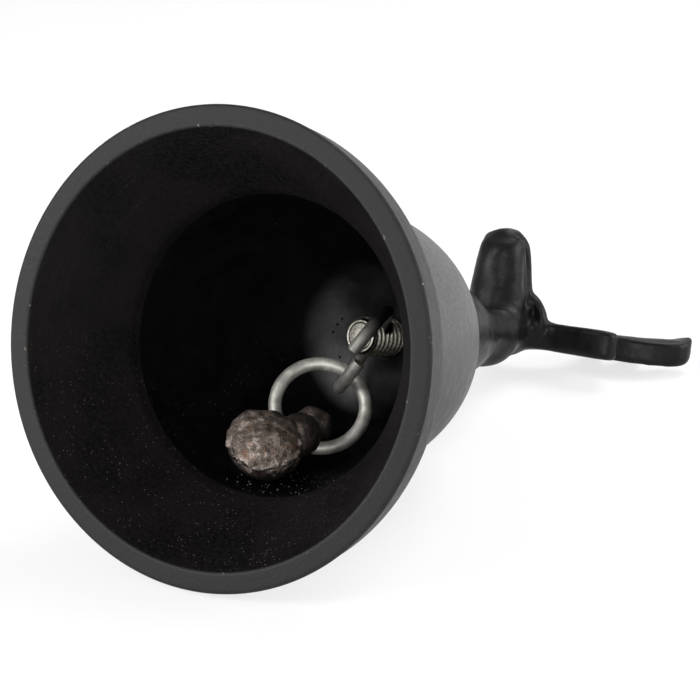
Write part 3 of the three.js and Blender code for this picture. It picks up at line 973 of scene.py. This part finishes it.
def widen_muzzle(surface):
    """Makes the muzzle fuller towards its end."""
    points = surface.points
    toward = 1 - bump(MUZZLE_BASE - points[:, 1], 12)
    toward *= bump(np.clip(MUZZLE_END - points[:, 1], 0, None), 3.2)
    aside = points[:, (0, 2)] - (0, MUZZLE_HEIGHT)
    reach = np.linalg.norm(aside, axis=1)[:, None] + 1e-9
    points[:, (0, 2)] += aside / reach * np.clip(reach / 3, 0, 1) * (0.95 * toward)[:, None]


def hang_jaw(surface):
    """Lets the back of the jaw hang as a round lobe before the neck."""
    near = bump(away_from_spots(surface.points, JAW_LOBE), 6.5)
    surface.points += near[:, None] * np.array([(0, 2.6, -1.5)])


def handle():
    """The handle's casting: a fuller muzzle with lips, soft creases and an uneven surface."""
    piece = remeshed("handle_casting", "antlered_handle", 0.45, 6)
    surface = Surface(piece, LYING)
    widen_muzzle(surface)
    hang_jaw(surface)
    start = surface.points.copy()
    mouth = away_from_lines(start, MOUTH_LINE)
    tip = bump(away(start, MUZZLE_TIP), 7.5)
    surface.round_off(26, tip * (1 - 0.7 * bump(mouth, 2.0)))
    ears = away_from_spots(start, EAR_ROOT)
    surface.fillet(110, (1 - bump(mouth, 3.0)) * (1 - bump(ears, 8.5)))
    neck = bump(np.abs(start[:, 2] - NECK_MIDDLE), 14) * (np.hypot(start[:, 0], start[:, 1]) < 16)
    surface.round_off(16, 0.9 * neck)
    surface.smooth(4)
    points = surface.points
    relief = 0.1 * surface.noise(7.0, 2) + 0.03 * surface.noise(2.2, 2)
    raised, sunk = (away_from_lines(points, MOUTH_LINE, lift) for lift in (-0.5, 0.7))
    relief += 0.34 * bump(raised, 1.1) - 0.5 * bump(sunk, 1.2)
    relief += 0.8 * bump(away(points, UPPER_LIP), 4.0)
    x, y, z = THROAT_SIDE
    for side in (-x, x):
        relief -= 1.3 * bump(away(points, (side, y, z)), 6.5)
    relief += 0.35 * bump(away(points, CHIN), 6.0)
    surface.push(relief)
    surface.smooth(2)
    surface.write()
    piece.data.materials.append(handle_black())
    finish_piece(piece, "bell", "handle_black", "antlered_handle")


def clapper():
    """The clapper's casting: a flattened face, a ragged ridge round it, and a rough surface."""
    piece = remeshed("clapper_casting", "clapper", 0.2, 3)
    surface = Surface(piece)
    surface.fillet(12)
    head, face = np.array(CLAPPER_HEAD), np.array(CLAPPER_FACE)
    from_head = surface.points - head
    far = np.linalg.norm(from_head, axis=1)
    on_head = bump(np.clip(far - HEAD_RADIUS, 0, None), 2.0)
    height = from_head @ face
    wave = 0.5 * surface.noise(3.4, 3)
    parting = 2.0 + 1.6 * wave
    above = np.clip(height - parting, 0, None)
    surface.points -= face * (0.32 * above * on_head)[:, None]
    outward = from_head - face * height[:, None]
    outward /= np.linalg.norm(outward, axis=1)[:, None] + 1e-9
    ridge = np.exp(-((height - parting) / 0.42) ** 2) * on_head
    ragged = 0.55 + 0.75 * surface.noise(1.3, 3)
    below = np.clip(0.5 - 1.2 * outward[:, 2], 0.08, 1)
    surface.points += outward * (ridge * below * np.clip(ragged, 0, 1.1) * 0.95)[:, None]
    surface.push(0.34 * surface.noise(3.6, 4) - 0.12)
    dips = surface.noise(5.0, 2)
    surface.push(-0.5 * np.clip(dips - 0.12, 0, None))
    surface.write()
    piece.data.materials.append(raw_casting())
    finish_piece(piece, "clapper_swing", "raw_casting", "clapper")


def crumbs():
    """Bits of rust and scale on the wall under the clapper."""
    random = np.random.default_rng(7)
    points, faces = [], []
    unit = bmesh.new()
    bmesh.ops.create_icosphere(unit, subdivisions=2, radius=1.0)
    ball = np.array([v.co[:] for v in unit.verts])
    sides = [[v.index for v in f.verts] for f in unit.faces]
    unit.free()
    for _ in range(CRUMB_COUNT):
        height = random.uniform(*CRUMB_HEIGHTS)
        angle = math.radians(-random.uniform(*CRUMB_ANGLES))
        radius = float(inner_radius(height)) - 0.05
        size = random.uniform(*CRUMB_SIZES)
        middle = np.array((radius * math.cos(angle), -radius * math.sin(angle), height))
        stretch = random.uniform(0.6, 1.5, 3) * size
        rough = 1 + 0.3 * random.standard_normal((len(ball), 1)).clip(-1, 1)
        start = len(points)
        points += list(middle + ball * stretch * rough)
        faces += [[start + i for i in side] for side in sides]
    piece = mesh_piece("scale_crumbs", points, faces, LYING, [crumb_rust()])
    finish_piece(piece, "bell", "raw_casting")


def crumb_rust():
    n = Nodes("crumb_rust", (0.1, 0.07, 0.05), 0.2, 0.7)
    grain = n.noise(0.5, 3.0, 0.6)
    color = n.mix(n.ramp(grain, 0.35, 0.65), (0.016, 0.013, 0.012), (0.07, 0.062, 0.055))
    n.relief(grain, 0.05)
    return n.done(color=color, roughness=n.ramp(grain, 0.3, 0.7, 0.55, 0.8))


# Stage

def floor_material():
    """Pale and matt, and a little bright by itself where it is seen."""
    n = Nodes("floor_pale", (0.9, 0.9, 0.9), 0.0, 0.9)
    output = n.tree.nodes["Material Output"]
    glow = n.node("ShaderNodeEmission")
    glow.inputs["Color"].default_value = (1, 1, 1, 1)
    glow.inputs["Strength"].default_value = 1.0
    path = n.node("ShaderNodeLightPath")
    mix = n.node("ShaderNodeMixShader")
    seen = n.math("MAXIMUM", path.outputs["Is Camera Ray"], path.outputs["Is Glossy Ray"])
    seen = n.math("MAXIMUM", seen, path.outputs["Is Transmission Ray"])
    n.link(n.math("MULTIPLY", seen, 0.72), mix.inputs["Fac"])
    n.link(n.shader.outputs[0], mix.inputs[1])
    n.link(glow.outputs[0], mix.inputs[2])
    n.link(mix.outputs[0], output.inputs["Surface"])
    return n.material


def floor():
    """A floor that bends up into a wall behind the bell."""
    mesh = bpy.data.meshes.new("floor")
    size, flat_end, bend, back, lift = 3.0, 0.9, 1.3, 2.2, 2.6
    rows = [(-size, 0), (flat_end, 0)]
    for a in np.linspace(0.1, math.pi / 2, 14):
        rows.append((flat_end + bend * math.sin(a), bend - bend * math.cos(a)))
    rows.append((back, lift))
    points = [(x, y, z) for y, z in rows for x in (-size, size)]
    faces = [(2 * i, 2 * i + 1, 2 * i + 3, 2 * i + 2) for i in range(len(rows) - 1)]
    mesh.from_pydata(points, [], faces)
    mesh.polygons.foreach_set("use_smooth", [True] * len(faces))
    mesh.materials.append(floor_material())
    stage = bpy.data.objects.new("floor", mesh)
    bpy.context.collection.objects.link(stage)


def lamp(name, place, aim, size, power):
    data = bpy.data.lights.new(name, "AREA")
    data.shape = "RECTANGLE"
    data.size, data.size_y = size
    data.energy = power
    made = bpy.data.objects.new(name, data)
    bpy.context.collection.objects.link(made)
    made.location = place
    made.rotation_euler = (Vector(aim) - Vector(place)).to_track_quat("-Z", "Y").to_euler()


def world():
    """A weak even light, white where the camera sees it."""
    made = bpy.data.worlds.new("studio")
    bpy.context.scene.world = made
    made.use_nodes = True
    tree = made.node_tree
    lit = tree.nodes["Background"]
    lit.inputs["Color"].default_value = (1, 1, 1, 1)
    lit.inputs["Strength"].default_value = 0.3
    seen = tree.nodes.new("ShaderNodeBackground")
    seen.inputs["Color"].default_value = (1, 1, 1, 1)
    seen.inputs["Strength"].default_value = 1.0
    path = tree.nodes.new("ShaderNodeLightPath")
    mix = tree.nodes.new("ShaderNodeMixShader")
    tree.links.new(path.outputs["Is Camera Ray"], mix.inputs["Fac"])
    tree.links.new(lit.outputs[0], mix.inputs[1])
    tree.links.new(seen.outputs[0], mix.inputs[2])
    tree.links.new(mix.outputs[0], tree.nodes["World Output"].inputs["Surface"])


def camera():
    data = bpy.data.cameras.new("camera")
    data.sensor_width = SENSOR
    data.lens = SENSOR * FOCAL_PIXELS / PHOTO_PIXELS
    data.clip_start = 0.01
    made = bpy.data.objects.new("camera", data)
    bpy.context.collection.objects.link(made)
    made.matrix_world = CAMERA
    bpy.context.scene.camera = made


def studio():
    camera()
    world()
    floor()
    lamp("front_left_softbox", (-0.72, -0.85, 0.22), (0, -0.05, 0.04), (0.5, 0.4), 8.5)
    lamp("front_right_softbox", (0.62, -1.0, 0.3), (0, -0.03, 0.04), (0.4, 0.4), 6.0)
    lamp("key_softbox", (-0.28, -0.85, 0.68), (0, -0.04, 0.04), (0.4, 0.4), 6.0)
    lamp("right_softbox", (0.95, 0.35, 0.35), (0, 0, 0.04), (0.6, 0.6), 9.0)
    lamp("top_softbox", (0.2, 0.5, 0.9), (0, 0, 0.02), (0.6, 0.6), 7.0)
    bpy.context.scene.view_settings.view_transform = "Standard"


CUP_MATERIALS = [dome_black(), skirt_black(), rim_black(), outer_black(), lip_side()]
CLEAN_WIRE = wire_steel("ring_wire_steel", 1.0, [])
# The upper ring's wire: a darker copy as painted shade, black by the stud's hole as painted
# shadow.
SHADED_WIRE = wire_steel("ring_wire_shaded", 0.44, WIRE_SHADOW_SPOTS)
CUT_END = wire_cut()

cup()
threaded_stud()
split_ring("upper_split_ring", UPPER_RING, UPPER_SPLIT, UPPER_OFFSET, SHADED_WIRE,
           "upper_link", "upper_ring")
split_ring("lower_split_ring", LOWER_RING, LOWER_SPLIT, LOWER_OFFSET, CLEAN_WIRE,
           "lower_link", "lower_ring")
handle()
clapper()
crumbs()
studio()
